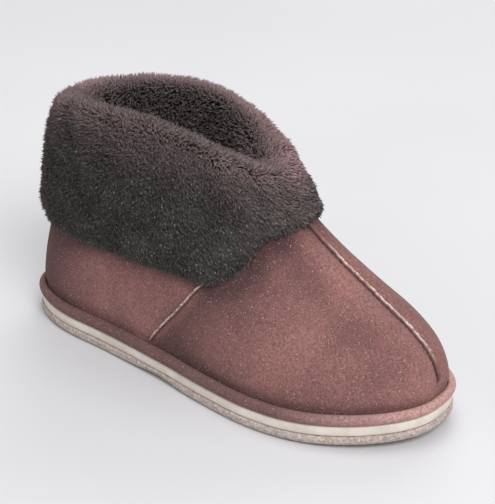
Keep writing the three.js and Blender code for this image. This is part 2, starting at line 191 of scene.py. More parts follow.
def last_normal(t, angle):
    """The last's outward direction."""
    t, angle = np.broadcast_arrays(np.asarray(t, float), angle)
    step = 0.01
    rise = last_point(np.minimum(t + step, 1), angle) - last_point(np.maximum(t - step, 0), angle)
    swing = last_point(t, angle + step) - last_point(t, angle - step)
    return unit(np.cross(swing, rise))

# %% [markdown]
# ## Meshes from rings
# Every piece of this slipper runs round the foot, so one helper turns a stack of rings into a
# mesh. The stack is either joined to itself, as in a hollow wall, or covered at both ends. A few
# smaller helpers make the objects and keep values on their points.

# %% Object helpers
def mesh_object(name, points, faces, lines=()):
    """An object in the scene, from points in metres."""
    mesh = bpy.data.meshes.new(name)
    mesh.from_pydata(np.asarray(points).tolist(), lines, faces)
    thing = bpy.data.objects.new(name, mesh)
    bpy.context.scene.collection.objects.link(thing)
    return thing

def new_piece(name, points, faces, lines=()):
    """A smooth piece of the slipper, from millimetre points on the last."""
    piece = mesh_object(name, (np.asarray(points) + to_origin) / 1000, faces, lines)
    piece.data.validate()
    piece.data.shade_smooth()
    return piece

def small_part(name, points, faces):
    """A part from millimetre points, which a node tree copies and which then goes away."""
    part = mesh_object(name, np.array(points) / 1000, faces)
    part.data.shade_smooth()
    return part

def evaluated_mesh(piece):
    """A plain mesh of the piece as its modifiers leave it."""
    graph = bpy.context.evaluated_depsgraph_get()
    return bpy.data.meshes.new_from_object(piece.evaluated_get(graph))

def store(piece, name, values, kind="FLOAT"):
    """Keeps one value, or one vector, on each point of a piece."""
    layer = piece.data.attributes.new(name, kind, "POINT")
    layer.data.foreach_set("value" if kind == "FLOAT" else "vector", np.ravel(values))

def face_outwards(piece):
    """Turns all faces of a closed piece outwards."""
    work = bmesh.new()
    work.from_mesh(piece.data)
    bmesh.ops.recalc_face_normals(work, faces=work.faces)
    work.to_mesh(piece.data)
    work.free()

# %% Rings to a mesh
round_steps = 192
turn = np.arange(round_steps) / round_steps * 2 * math.pi  # bearings from the toe

def band(a, b, n):
    """The faces between two closed rows of n points, which start at a and at b."""
    return [(a + i, a + (i + 1) % n, b + (i + 1) % n, b + i) for i in range(n)]

def bands(rows, n):
    """The faces between neighbouring rows of n points each."""
    return [face for k in range(rows - 1) for face in band(k * n, (k + 1) * n, n)]

def ring_piece(name, rings, covered=False):
    """A piece from a stack of rings, each going once round the foot."""
    count, n = len(rings), len(rings[0])
    faces = bands(count, n)
    if not covered:
        faces += band((count - 1) * n, 0, n)
    else:
        for start, turned in ((0, True), ((count - 1) * n, False)):
            for i in range(n // 2):
                quad = dict.fromkeys((i, i + 1, (n - i - 1) % n, (n - i) % n))
                face = tuple(start + q for q in quad)
                faces.append(face[::-1] if turned else face)
    piece = new_piece(name, np.concatenate(rings), faces)
    face_outwards(piece)
    print(name, len(piece.data.polygons), "faces")
    return piece

def foot_ring(grow, rise):
    """A ring that follows the feather line, grown in plan and raised from the sole's top."""
    return last_point(0, turn, grow) + np.array((0, 0, rise))

# %% [markdown]
# ## Node helpers
# A procedural finish is a small network of nodes. These helpers keep each network readable: the
# first ones start a finish, add a node with its settings and join sockets. The others make the
# few groups of nodes that every finish here is mixed from.

# %% Start a finish
def finish_named(name):
    """An empty finish: its node tree and its Principled shader."""
    finish = bpy.data.materials.new(name)
    finish.use_nodes = True
    return finish, finish.node_tree, finish.node_tree.nodes["Principled BSDF"]

def add(tree, kind, **settings):
    """A node with its settings, which are its own values or else its inputs."""
    node = tree.nodes.new(kind)
    for key, value in settings.items():
        if hasattr(node, key):
            setattr(node, key, value)
        else:
            node.inputs[key.replace("_", " ").title()].default_value = value
    return node

def join(tree, source, socket, target, slot):
    tree.links.new(source.outputs[socket], target.inputs[slot])

# %% Colours, clouds and bumps
def colour(code):
    """A colour as Blender wants it, from the eye's 0 to 255 values."""
    srgb = [c / 255 for c in code]
    return tuple(c / 12.92 if c <= 0.04045 else ((c + 0.055) / 1.055) ** 2.4 for c in srgb) + (1,)

def grey(level):
    """A factor for all three channels."""
    return (level, level, level, 1)

def noise(tree, scale, detail=2.0, roughness=0.5, distortion=0.0):
    """Noise on the piece's own coordinates, in metres."""
    place = tree.nodes.get("place") or add(tree, "ShaderNodeTexCoord", name="place")
    cloud = add(tree, "ShaderNodeTexNoise", scale=scale, detail=detail, roughness=roughness,
                distortion=distortion)
    join(tree, place, "Object", cloud, "Vector")
    return cloud

def ramp(tree, source, socket, *stops):
    """A colour ramp through (position, colour) stops."""
    strip = add(tree, "ShaderNodeValToRGB")
    elements = strip.color_ramp.elements
    while len(elements) < len(stops):
        elements.new(0.5)
    for element, (position, shade) in zip(elements, stops):
        element.position, element.color = position, shade
    join(tree, source, socket, strip, "Fac")
    return strip

def blend(tree, factor, socket, below, above, way="MIX"):
    """Mixes two colours (sockets or values) by a factor socket."""
    mixer = add(tree, "ShaderNodeMix", data_type="RGBA", blend_type=way)
    if factor is not None:
        tree.links.new(factor.outputs[socket], mixer.inputs[0])
    for index, value in ((6, below), (7, above)):
        if isinstance(value, tuple):
            mixer.inputs[index].default_value = value
        else:
            tree.links.new(value, mixer.inputs[index])
    return mixer

def multiply(tree, below, above):
    """The colour of one node times that of another."""
    mixer = blend(tree, None, None, below.outputs["Color"], above.outputs["Color"], "MULTIPLY")
    mixer.inputs[0].default_value = 1
    return mixer

def tune(shader, **levels):
    """Sets the shader's roughness, its gloss and its sheen."""
    sockets = {"roughness": "Roughness", "gloss": "Specular IOR Level", "sheen": "Sheen Weight",
               "sheen_roughness": "Sheen Roughness", "sheen_tint": "Sheen Tint"}
    for name, level in levels.items():
        shader.inputs[sockets[name]].default_value = level

def relief(tree, shader, *layers):
    """Bumps stacked on the shader: each layer is (node, socket, depth in metres)."""
    before = None
    for node, socket, depth in layers:
        bump = add(tree, "ShaderNodeBump")
        bump.inputs["Distance"].default_value = depth
        bump.inputs["Strength"].default_value = 1
        join(tree, node, socket, bump, "Height")
        if before:
            join(tree, before, "Normal", bump, "Normal")
        before = bump
    join(tree, before, "Normal", shader, "Normal")

# %% [markdown]
# ## Suede
# Suede is the flesh side of a skin. Its short nap lies in patches that look lighter or darker, it
# carries fine pale flecks, and it has a soft sheen and no gloss. Clouds of noise at three scales
# give the patches, the grain and the flecks.

# %% Suede finish
def suede(name, dark, light, fleck):
    """Napped suede between two colours, darkened by the stored painted shade, with pale flecks."""
    finish, tree, shader = finish_named(name)
    patches = noise(tree, 24, 6, 0.62, 0.3)
    grain = noise(tree, 760, 3, 0.75)
    flecks = noise(tree, 1500, 1, 0.5)
    base = ramp(tree, patches, "Fac", (0.36, colour(dark)), (0.66, colour(light)))
    fine = ramp(tree, grain, "Fac", (0.33, (0.6, 0.6, 0.61, 1)), (0.67, (1.3, 1.29, 1.28, 1)))
    grained = multiply(tree, base, fine)
    # Painted shade: the stored amount mixes in a dark brown.
    shadow = add(tree, "ShaderNodeAttribute", attribute_name="painted_shade")
    shaded = blend(tree, shadow, "Fac", grained.outputs[2], colour((74, 52, 54)))
    spots = ramp(tree, flecks, "Fac", (0.66, grey(0)), (0.76, grey(0.7)))
    flecked = blend(tree, spots, "Color", shaded.outputs[2], colour(fleck))
    tree.links.new(flecked.outputs[2], shader.inputs["Base Color"])
    tune(shader, roughness=0.96, gloss=0.14, sheen=0.22, sheen_roughness=0.5,
         sheen_tint=colour((206, 172, 166)))
    relief(tree, shader, (patches, "Fac", 0.0006), (grain, "Fac", 0.0005))
    return finish

suede_finish = suede("suede", (132, 94, 91), (157, 112, 107), (222, 198, 192))
# The rand's suede is the upper's suede painted lighter, a painted highlight on the roll.
rand_finish = suede("rand_suede", (170, 132, 129), (188, 148, 143), (224, 200, 194))
print("suede mixed")

# %% [markdown]
# ## Upper
# The upper is one wall of sheepskin with its suede side out. Along each seam the skin is pulled
# in, so the panels swell a little on both sides. The wall is built as rings out and back in, and
# the pull is a dip that follows the distance from the nearest seam.

# %% Seam lines
# Each row is a height t and a bearing from the toe, in degrees.
side_seam = ((0.09, 102.5), (0.3, 94), (0.47, 84), (0.6, 73.5), (0.7, 63))
seam_lines = {
    "seam_vamp": table("t angle", (0.15, 0), (0.9, 0)),
    "seam_outer": table("t angle", *((t, -angle) for t, angle in side_seam)),
    "seam_inner": table("t angle", *side_seam),
}
seam_steps = 170  # points along a seam's ridge and its thread

def seam_path(rows, steps):
    """t and angle of a seam at equal steps from its foot to its top."""
    t = np.linspace(rows["t"][0], rows["t"][-1], steps)
    return t, np.radians(read(rows, t, "angle"))

seam_points = np.concatenate([last_point(*seam_path(rows, 160)) for rows in seam_lines.values()])

def from_seam(points):
    """Distance of each point from the nearest seam."""
    return np.min(np.linalg.norm(points[:, None] - seam_points[None], axis=-1), axis=1)

# %% Hem of the cuff
hem_line = table("t at", (0, 0.49), (0.25, 0.54), (0.5, 0.6), (0.66, 0.62), (0.8, 0.715),
                 (0.9, 0.81), (1, 0.85))
fur_plan = table("t outside inside", (0, 0.62, 2.2), (0.15, 0.8, 1.5), (0.4, 1, 1),
                 (0.75, 1, 1.15), (1, 0.72, 2.5))

def hem_at(angle):
    """The height t at which the cuff's hem lies."""
    return read(hem_line, (1 + np.cos(angle)) / 2, "at")

# %% Upper wall
puff_rise, puff_place, puff_spread = 0.8, 10, 7  # how the skin swells beside a seam
dip_depth, dip_spread = 1.0, 3.4  # and how it is drawn in along it
groove_dip, groove_place, groove_spread = 0.6, 0.01, 0.02  # over the rand: mm, then heights t

def wall_ring(t, out):
    """A ring of the wall, so far out from the last; its suede side has the swell and the dips."""
    points, normals = last_point(t, turn), last_normal(t, turn)
    pull = from_seam(points)
    puff = puff_rise * bell(pull, puff_place, puff_spread) - dip_depth * bell(pull, 0, dip_spread)
    groove = -groove_dip * bell(t - rand_top, groove_place, groove_spread)
    moved = points + normals * (out + (puff + groove) * (out >= 0))[:, None]
    if t == 0:
        moved[:, 2] = points[:, 2] + gap
    return moved

levels = np.linspace(0, 1, 72)
rim = [last_point(1, turn) + last_normal(1, turn) * -wall * s + np.array((0, 0, r))
       for s, r in ((0.15, 0.5), (0.5, 0.75), (0.85, 0.5))]
upper = ring_piece("suede_upper",
    [wall_ring(t, 0) for t in levels] + rim
    + [wall_ring(t, -wall) for t in levels[::-3]])
upper.data.materials.append(suede_finish)
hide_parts("upper")
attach(upper, "root")

# %% Painted shade on the suede
# Painted shade darkens the suede along the seams' toe side, on the far side of the vamp, in the
# groove over the rand, at the heel and under the cuff. The amount is stored on each point.
darkest = 0.88

def painted_shade_at(t, points):
    """How much painted shade darkens the ring of the wall at height t, from 0 to the darkest."""
    pull = from_seam(points)
    bearing = np.degrees(np.minimum(turn, 2 * math.pi - turn))
    ahead = np.clip((read(seam_lines["seam_inner"], t, "angle") - bearing) / 4, 0, 1)
    by_seam = 0.7 * bell(pull, 0, 34) * ahead * np.clip(bearing / 15 - 1, 0, 1)
    by_vamp = 0.4 * np.clip(points[:, 1] / 20, 0, 1) * np.clip(points[:, 0] / 40, 0, 1)
    over_rand = max(0, t - rand_top)
    off_toe = ahead * np.clip(bearing / 25 - 1, 0, 1)
    by_rand = 0.36 * bell(over_rand, 0, 0.055) + 0.34 * bell(over_rand, 0, 0.15) * off_toe
    at_heel = np.clip((-70 - points[:, 0]) / 45, 0, 1)
    under_cuff = 0.65 * bell(t, hem_at(turn), 0.09 + 0.06 * at_heel)
    on_vamp = np.maximum(by_seam, by_vamp)
    return np.clip(on_vamp + by_rand + 0.85 * at_heel + under_cuff, 0, darkest)

# Painted shade on each ring of the wall, kept as a value on each point.
painted_shade = [painted_shade_at(t, last_point(t, turn)) for t in levels]
rest = len(upper.data.vertices) - len(levels) * round_steps
store(upper, "painted_shade", np.concatenate(painted_shade + [np.zeros(rest)]))
print("darker nap on", round(float(np.mean(np.array(painted_shade) > 0.1)), 2), "of the wall")

# %% [markdown]
# ## Raised seams
# The panels are sewn with their raw edges outwards, so each seam stands up as a narrow double
# ridge that shows the skin's pale middle. A profile with a nick along its crest is swept along
# the seam and leans a little as it goes, as cut edges do.

# %% Pale cut edge
edge_finish, tree, shader = finish_named("cut_edge")
fibres = noise(tree, 430, 4, 0.75)
bare = add(tree, "ShaderNodeAttribute", attribute_name="bare")
pale = ramp(tree, fibres, "Fac", (0.4, colour((166, 134, 126))), (0.58, colour((246, 230, 222))))
shade = blend(tree, bare, "Fac", colour((128, 92, 88)), pale.outputs["Color"])
tree.links.new(shade.outputs[2], shader.inputs["Base Color"])
tune(shader, roughness=0.95, gloss=0.12)
relief(tree, shader, (fibres, "Fac", 0.0006))

# %% Sweep the seam edges
edge_section = [(-1, -0.7), (-0.98, 0.3), (-0.72, 0.85), (-0.34, 1.0), (-0.08, 0.74),
                (0.1, 0.76), (0.38, 1.02), (0.74, 0.86), (0.98, 0.3), (1, -0.7)]

def seam_frames(rows):
    """Point, sideways and outward directions along a seam."""
    t, angle = seam_path(rows, seam_steps)
    points, normals = last_point(t, angle), last_normal(t, angle)
    along = unit(np.gradient(points, axis=0))
    return points, unit(np.cross(along, normals)), normals

def bare_share(run, low, high):
    """How much of the pale skin shows along a seam: it fades out below low and above high."""
    patchy = 0.82 + 0.18 * np.sin(63 * run + 1) * np.sin(29 * run)
    return patchy * np.clip((run - low) / 0.12, 0, 1) * np.clip((high - run) / 0.16, 0, 1)

def seam_edge(name, rows, low, high):
    points, sideways, normals = seam_frames(rows)
    run = np.linspace(0, 1, seam_steps)
    wobble = 0.16 * np.sin(47 * run) * np.sin(13 * run + 1) + 0.13 * np.sin(151 * run)
    taper = np.clip(np.minimum(run, 1 - run) * 22, 0.35, 1)
    rings = np.stack([points
        + sideways * (across * seam_width * ridge_share * (0.7 + 0.3 * taper) + wobble)[:, None]
        + normals * (rise * seam_rise * np.where(rise > 0, taper, 1) * (1 + 0.3 * wobble))[:, None]
        for across, rise in edge_section], axis=1)
    count = len(edge_section)
    faces = bands(seam_steps, count)
    faces += [tuple(range(count))[::-1], tuple((seam_steps - 1) * count + i for i in range(count))]
    edge = new_piece(name, rings.reshape(-1, 3), faces)
    on_crest = np.array([0.15 if rise < 0.5 else 0.7 if abs(across) > 0.6 else 1
                         for across, rise in edge_section])
    store(edge, "bare", np.outer(bare_share(run, low, high), on_crest))
    face_outwards(edge)
    edge.data.materials.append(edge_finish)
    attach(edge, "root")
    return edge

bare_runs = {"seam_vamp": (0.12, 0.86), "seam_outer": (-0.1, 1.2), "seam_inner": (-0.1, 1.2)}
edges = [seam_edge(name, rows, *bare_runs[name]) for name, rows in seam_lines.items()]
print(len(edges), "seam edges swept")

# %% [markdown]
# ## Stitches
# The two skins of a seam are held by one row of thread on each side of the ridge. Geometry Nodes
# set a short thread at equal steps along a guide curve, and the result becomes a plain mesh.

# %% Thread finish
thread_finish, tree, shader = finish_named("thread")
twist_noise = noise(tree, 2400, 1)
shade = ramp(tree, twist_noise, "Fac", (0.35, colour((86, 58, 57))), (0.65, colour((118, 84, 81))))
join(tree, shade, "Color", shader, "Base Color")
tune(shader, roughness=0.8)

# %% One stitch
def thread_template(length, radius):
    """A six-sided bar with drawn-in ends that lies along +Z."""
    points = []
    for share, thick in ((0, 0.35), (0.18, 1), (0.82, 1), (1, 0.35)):
        for k in range(6):
            a = k * math.pi / 3
            points.append((radius * thick * math.cos(a), radius * thick * math.sin(a),
                           length * (share - 0.5)))
    faces = bands(4, 6) + [tuple(range(6))[::-1], tuple(range(18, 24))]
    return small_part("thread", points, faces)

# %% Helpers for node groups
def node_group(name, inputs, output):
    """An empty geometry group with its sockets, and its two ends."""
    tree = bpy.data.node_groups.new(name, "GeometryNodeTree")
    for label, kind in inputs.items():
        tree.interface.new_socket(label, in_out="INPUT", socket_type="NodeSocket" + kind)
    tree.interface.new_socket(output, in_out="OUTPUT", socket_type="NodeSocketGeometry")
    return tree, tree.nodes.new("NodeGroupInput"), tree.nodes.new("NodeGroupOutput")

def copy_and_dress(tree, source, result, part, points, rotation):
    """Puts a turned copy of the part on each point and turns them into one dressed mesh."""
    template = tree.nodes.new("GeometryNodeObjectInfo")
    copies = tree.nodes.new("GeometryNodeInstanceOnPoints")
    real = tree.nodes.new("GeometryNodeRealizeInstances")
    dress = tree.nodes.new("GeometryNodeSetMaterial")
    link = tree.links.new
    link(source.outputs[part], template.inputs["Object"])
    link(points.outputs["Points"], copies.inputs["Points"])
    link(template.outputs["Geometry"], copies.inputs["Instance"])
    link(rotation.outputs["Rotation"], copies.inputs["Rotation"])
    link(copies.outputs["Instances"], real.inputs["Geometry"])
    link(real.outputs["Geometry"], dress.inputs["Geometry"])
    link(source.outputs["Finish"], dress.inputs["Material"])
    link(dress.outputs["Geometry"], result.inputs[0])
    return copies

# %% Node tree that sews
def sewing_tree():
    tree, source, result = node_group("sew_stitches", {
        "Guide": "Geometry", "Thread": "Object", "Pitch": "Float",
        "Finish": "Material"}, "Stitches")
    curve = tree.nodes.new("GeometryNodeMeshToCurve")
    steps = tree.nodes.new("GeometryNodeCurveToPoints")
    steps.mode = "LENGTH"
    align = tree.nodes.new("FunctionNodeAlignRotationToVector")
    align.axis = "Z"
    link = tree.links.new
    link(source.outputs["Guide"], curve.inputs["Mesh"])
    link(curve.outputs["Curve"], steps.inputs["Curve"])
    link(source.outputs["Pitch"], steps.inputs["Length"])
    link(steps.outputs["Tangent"], align.inputs["Vector"])
    copy_and_dress(tree, source, result, "Thread", steps, align)
    return tree

sewing = sewing_tree()

# %% Grow a piece with a node tree
def grow(name, base, nodes, slot, **wanted):
    """The base's node-made geometry as a plain mesh piece; the base is taken away."""
    growth = base.modifiers.new("growth", "NODES")
    growth.node_group = nodes
    for item in nodes.interface.items_tree:
        if item.in_out == "INPUT" and item.name in wanted:
            growth[item.identifier] = wanted[item.name]
    grown = evaluated_mesh(base)
    base.modifiers.remove(growth)
    piece = bpy.data.objects.new(name, grown)
    bpy.context.scene.collection.objects.link(piece)
    bpy.data.objects.remove(base)
    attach(piece, "root")
    print(name, len(grown.polygons), "faces")
    return piece

# %% Sew each seam
stitch_length, thread_radius, thread_depth = 2.2, 0.3, 0.55
stitch_pitch = 0.0034  # in metres, as the node tree wants it

def stitch_guide(name, rows, side):
    """A line beside a seam, where the thread lies on the skin."""
    points, sideways, normals = seam_frames(rows)
    line = points + sideways * side * seam_width * thread_share - normals * thread_depth
    return new_piece(name, line, [], [(i, i + 1) for i in range(seam_steps - 1)])

thread = thread_template(stitch_length, thread_radius)
for name, rows in seam_lines.items():
    for side, word in ((-1, "left"), (1, "right")):
        guide = stitch_guide(name + word, rows, side)
        grow(name.replace("seam", "stitches") + "_" + word, guide, sewing, "upper_suede",
             Thread=thread, Pitch=stitch_pitch, Finish=thread_finish)
bpy.data.objects.remove(thread)

# %% [markdown]
# ## Wool lining
# Inside, the same skin carries its wool. A dark layer lines the wall from the footbed up into
# the cuff, so nothing pink shows down the mouth.

# %% Wool finish
def wool(name, dark, light, tint, sheen_tone=None):
    """Dark curled wool, with a given colour mixed in as painted sheen as the points store it."""
    finish, tree, shader = finish_named(name)
    clumps = noise(tree, 70, 4, 0.65, 0.6)
    curls = noise(tree, 620, 3, 0.7, 1.0)
    base = ramp(tree, clumps, "Fac", (0.32, colour(dark)), (0.7, colour(light)))
    fine = ramp(tree, curls, "Fac", (0.3, grey(0.6)), (0.72, grey(1.4)))
    curled = multiply(tree, base, fine)
    last = curled
    if sheen_tone:
        painted_sheen = add(tree, "ShaderNodeAttribute", attribute_name="painted_sheen")
        last = blend(tree, painted_sheen, "Fac", curled.outputs[2], colour(sheen_tone))
        lint = noise(tree, 800, 0)
        spots = ramp(tree, lint, "Fac", (0.69, grey(0)), (0.75, grey(0.7)))
        last = blend(tree, spots, "Color", last.outputs[2], colour((172, 162, 158)))
    tree.links.new(last.outputs[2], shader.inputs["Base Color"])
    tune(shader, roughness=0.92, gloss=0.12, sheen=0.3, sheen_roughness=0.5,
         sheen_tint=colour(tint))
    relief(tree, shader, (clumps, "Fac", 0.002), (curls, "Fac", 0.0012))
    return finish

lining_finish = wool("lining_wool", (44, 43, 41), (70, 67, 64), (124, 114, 110))

# %% Lining layer
def lining_ring(share, out):
    """A ring of the lining, from the footbed at 0 to a little over the hem at 1."""
    t = mix(0.1, hem_at(turn) + 0.05, share)
    return last_point(t, turn) + last_normal(t, turn) * out

lining_wool = 3  # its depth from the wall
shares = np.linspace(0, 1, 30)
outer_face = [lining_ring(share, -wall - 0.3) for share in shares]
inner_face = [lining_ring(share, -wall - lining_wool) for share in shares[::-1]]
lining = ring_piece("wool_lining", outer_face + inner_face)
lining.data.materials.append(lining_finish)
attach(lining, "root")

# %% [markdown]
# ## Rand
# Round the upper's foot runs a suede roll, lasted over a cord. It is half round in section, sits
# in its own shadow line against the upper, and turns in under its lower edge.

# %% Rand roll
rand_section = [(0, 0.2), (0, 0.72), (0.08, 0.87), (0.22, 0.96), (0.38, 1.0), (0.52, 1.0),
                (0.68, 0.93), (0.82, 0.8), (0.93, 0.6), (1, 0.36), (0.97, 0.1)]
rand_rings = [last_point(rise * rand_top, turn, out * rand_depth)
              + np.array((0, 0, gap * (1 - rise))) for rise, out in rand_section]
rand = ring_piece("rand_roll", rand_rings)
rand.data.materials.append(rand_finish)
# Painted shade darkens the rand's sides; it stays lighter round the toe.
side_shade = 0.76 * np.clip((0.93 - np.cos(turn)) / 0.45, 0, 1)  # lighter round the toe
store(rand, "painted_shade", np.tile(side_shade, len(rand_rings)))
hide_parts("rand")
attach(rand, "root")

# %% [markdown]
# ## Midsole and outsole
# The midsole is smooth cream foam. Under it lies a crepe outsole, pebbled like cork, with a
# rounded lower edge, cross grooves under heel and forefoot, and a low arch between them. The
# grooves are cut with one Boolean, which is applied so that a plain mesh remains.

# %% Foam finish
foam_finish, tree, shader = finish_named("cream_foam")
soft = noise(tree, 90, 3, 0.6)
skin = noise(tree, 1500, 2, 0.5)
shade = ramp(tree, soft, "Fac", (0.3, colour((214, 202, 190))), (0.7, colour((236, 227, 217))))
join(tree, shade, "Color", shader, "Base Color")
tune(shader, roughness=0.62)
relief(tree, shader, (soft, "Fac", 0.0003), (skin, "Fac", 0.0001))

# %% Crepe finish
crepe_finish, tree, shader = finish_named("crepe")
pebbles = add(tree, "ShaderNodeTexVoronoi", scale=480)
place = add(tree, "ShaderNodeTexCoord", name="place")
join(tree, place, "Object", pebbles, "Vector")
dust = noise(tree, 640, 3, 0.7)
shade = ramp(tree, dust, "Fac", (0.34, colour((168, 154, 148))), (0.66, colour((220, 206, 199))))
# Painted shade in the pits between the pebbles, and painted light on their tops.
pit_shade = ramp(tree, pebbles, "Distance", (0.0, grey(1.1)), (0.7, (0.8, 0.78, 0.77, 1)))
pit_shaded = multiply(tree, shade, pit_shade)
tree.links.new(pit_shaded.outputs[2], shader.inputs["Base Color"])
tune(shader, roughness=0.85)
relief(tree, shader, (dust, "Fac", 0.0004), (pebbles, "Distance", -0.0005))

# %% Midsole
under_rand = 0.5  # the outsole's edge lies this far inside the rand's
foam_edge = rand_depth - sole_step - under_rand
low = gap - midsole_thickness
midsole_rings = [foot_ring(foam_edge - inset, rise) for inset, rise in (
    (6, low), (0.9, low), (0.35, low + 0.35), (0, low + 1.2), (0, low / 2), (0, -1.2),
    (0.3, -0.35), (0.9, 0), (6, 0))]
midsole = ring_piece("midsole_foam", midsole_rings, covered=True)
midsole.data.materials.append(foam_finish)
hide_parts("midsole")
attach(midsole, "root")

# %% Outsole body
def under_ring(grow, rise):
    """A ring of the outsole's underside, raised from the floor and arched at the waist."""
    ring = foot_ring(grow, rise - feather_height)
    share = np.clip((ring[:, 0] / half_length - arch_start) / arch_run, 0, 1)
    ring[:, 2] += arch_rise * np.sin(share * math.pi) ** 2
    return ring

crepe_edge = rand_depth - under_rand
outsole_rings = [under_ring(crepe_edge - inset, rise) for inset, rise in (
    (sole_edge_round + 4, 0), (sole_edge_round, 0), (sole_edge_round * 0.62, 0.35),
    (sole_edge_round * 0.3, 1.0), (sole_edge_round * 0.08, 1.9), (0, 2.9))]
top = -midsole_thickness
outsole_rings += [foot_ring(crepe_edge - inset, rise) for inset, rise in (
    (0, top - 1.1), (0.2, top - 0.4), (0.7, top), (4, top))]
outsole = ring_piece("crepe_outsole", outsole_rings, covered=True)

# %% Cut the grooves
groove_width, groove_depth, groove_pitch = 2.6, 1.2, 9
groove_reach = 0.31  # share of ball_width from a groove's middle to its end
groove_fields = ((-0.82, -0.46), (0.1, 0.34))  # heel and forefoot, in shares of half_length
bars, faces = [], []
for start, end in groove_fields:
    for k in range(int((end - start) * half_length / groove_pitch) + 1):
        x = start * half_length + k * groove_pitch
        y = toe_swing * max(0, x / half_length) ** 2
        base = len(bars)
        bars += [(x + i * groove_width / 2, y + j * ball_width * groove_reach, h * groove_depth)
                 for i in (-1, 1) for j in (-1, 1) for h in (-1, 1)]
        faces += [tuple(base + c for c in face) for face in (
            (0, 1, 3, 2), (4, 6, 7, 5), (0, 4, 5, 1), (2, 3, 7, 6), (0, 2, 6, 4), (1, 5, 7, 3))]
cutter = new_piece("groove_bars", np.array(bars), faces)
cut = outsole.modifiers.new("grooves", "BOOLEAN")
cut.operation, cut.object, cut.solver = "DIFFERENCE", cutter, "EXACT"
plain = evaluated_mesh(outsole)
outsole.modifiers.remove(cut)
outsole.data = plain
bpy.data.objects.remove(cutter)
outsole.data.materials.clear()
outsole.data.materials.append(crepe_finish)
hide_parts("outsole")
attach(outsole, "root")
print("grooves cut:", len(faces) // 6)

# %% [markdown]
# ## Footbed
# The insole is a pad covered in short fleece. It is softly crowned, and it sits a little below
# the wall's wool.

# %% Insole pad
fleece_finish = wool("fleece", (48, 46, 44), (74, 70, 67), (124, 114, 110))
pad_edge = -wall - 3 * gap
insole_rings = [foot_ring(pad_edge - inset, rise) for inset, rise in (
    (8, gap), (1, gap), (0.2, 1.2), (0, 2.6), (0.3, 4.4), (1.2, 5.9), (3, 6.8),
    (8, insole_thickness))]
insole = ring_piece("fleece_insole", insole_rings, covered=True)
insole.data.materials.append(fleece_finish)
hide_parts("insole")
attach(insole, "root")

# %% [markdown]
# ## Fur cuff
# The cuff is the skin turned over, wool outwards. Its form is a ring with a rounded section that
# climbs from the hem, rolls over the top and goes down inside. The wool itself is made in two
# steps. A soft core carries the mass; its wool is painted darker than the wisps', as painted
# shade between the locks. Thousands of short curved wisps then stand on it, combed down and
# outwards, and give the plush surface and its edge.

# %% Form of the cuff
cuff_section = table("t climb rise out",
    (0, 0, -0.1, 0.32), (1, 0.09, 0, 0.62), (2, 0.32, 0, 0.9), (3, 0.62, 0, 1),
    (4, 0.9, 0.1, 0.92), (5, 1, 0.55, 0.64), (6, 1, 0.9, 0.28), (7, 1, 0.94, -0.2),
    (8, 1, 0.66, -0.66), (9, 0.94, 0.1, -0.98), (10, 0.6, 0, -1), (11, 0.3, 0, -0.6))
crest_wave = table("t wave", (0, -0.2), (0.1, -0.08), (0.25, 0.08), (0.45, 0.2), (0.65, 0.14),
                   (0.85, -0.1), (1, -0.3))

def fur_point(v, angle):
    """A point of the wool's surface: v runs from the hem over the top and down inside."""
    v, angle = np.broadcast_arrays(np.asarray(v, float), angle)
    climb = np.clip(read(cuff_section, v, "climb"), 0, 1)
    rise, out = read(cuff_section, v, "rise"), read(cuff_section, v, "out")
    t = (1 + np.cos(angle)) / 2
    clump = clump_rise * np.sin(11 * angle + 7 * climb) * np.sin(5 * angle - 4 * out)
    outside = out * fur_depth * read(fur_plan, t, "outside") + clump
    inside = out * fur_inside * read(fur_plan, t, "inside") - wall
    ease = np.clip((out + 0.15) / 0.3, 0, 1)
    grow = mix(inside, outside, ease)
    wave = 1 + read(crest_wave, t, "wave") * np.clip((climb - 0.8) / 0.15, 0, 1)
    return last_point(mix(hem_at(angle), 1, climb), angle, grow) + np.stack(
        [0 * v, 0 * v, rise * wave * fur_rise], -1)

def fur_frame(v, angle):
    """Point, outward direction and direction along the section of the wool's surface."""
    step = 0.05
    point = fur_point(v, angle)
    around = unit(fur_point(v, angle + step) - fur_point(v, angle - step))
    climb = unit(fur_point(v + step, angle) - fur_point(v - step, angle))
    return point, unit(np.cross(around, climb)), climb

# %% Core of the cuff
core_inset = 3.0  # the core lies this deep in the wool, and less so at the hem
hem_end, hem_share = 0.4, 0.35
core_rings = []
for v in np.linspace(0.05, 10.9, 46):
    point, out, _ = fur_frame(np.full(round_steps, v), turn)
    core_rings.append(point - out * core_inset * (hem_share if v < hem_end else 1))
for climb in (0.3, 0.0):
    t = mix(hem_at(turn), 1, climb)
    core_rings.append(last_point(t, turn, 0.4) if climb == 0 else
                      last_point(t, turn) + last_normal(t, turn) * (-wall - 0.3))
core = ring_piece("fur_core", core_rings)
# The core's wool is painted darker than the wisps': painted shade between the locks.
core_finish = wool("fur_core", (40, 39, 38), (60, 58, 56), (110, 102, 100))
core.data.materials.append(core_finish)
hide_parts("fur_cuff")
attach(core, "root")

# %% [markdown]
# ## Wisps of wool
# Geometry Nodes plant the wisps: points are scattered over a patch of the cuff, each gets a
# small curved cone, turned along the direction stored on the patch, and every copy gets its own
# size and lean from a fixed seed. The result is turned into a plain mesh.

# %% One wisp
def wisp_template(length, radius):
    """A small three-sided curl that grows along +Z and bends towards +X."""
    points, faces = [], []
    for share, thick in ((0, 0.75), (0.6, 1.0)):
        for k in range(3):
            a = k * 2 * math.pi / 3
            points.append((radius * thick * math.cos(a) + length * 0.3 * share ** 2,
                           radius * thick * math.sin(a), length * share))
    points.append((length * 0.3, 0, length * 0.92))
    faces = [(0, 1, 4, 3), (1, 2, 5, 4), (2, 0, 3, 5), (3, 4, 6), (4, 5, 6), (5, 3, 6)]
    return small_part("wisp", points, faces)

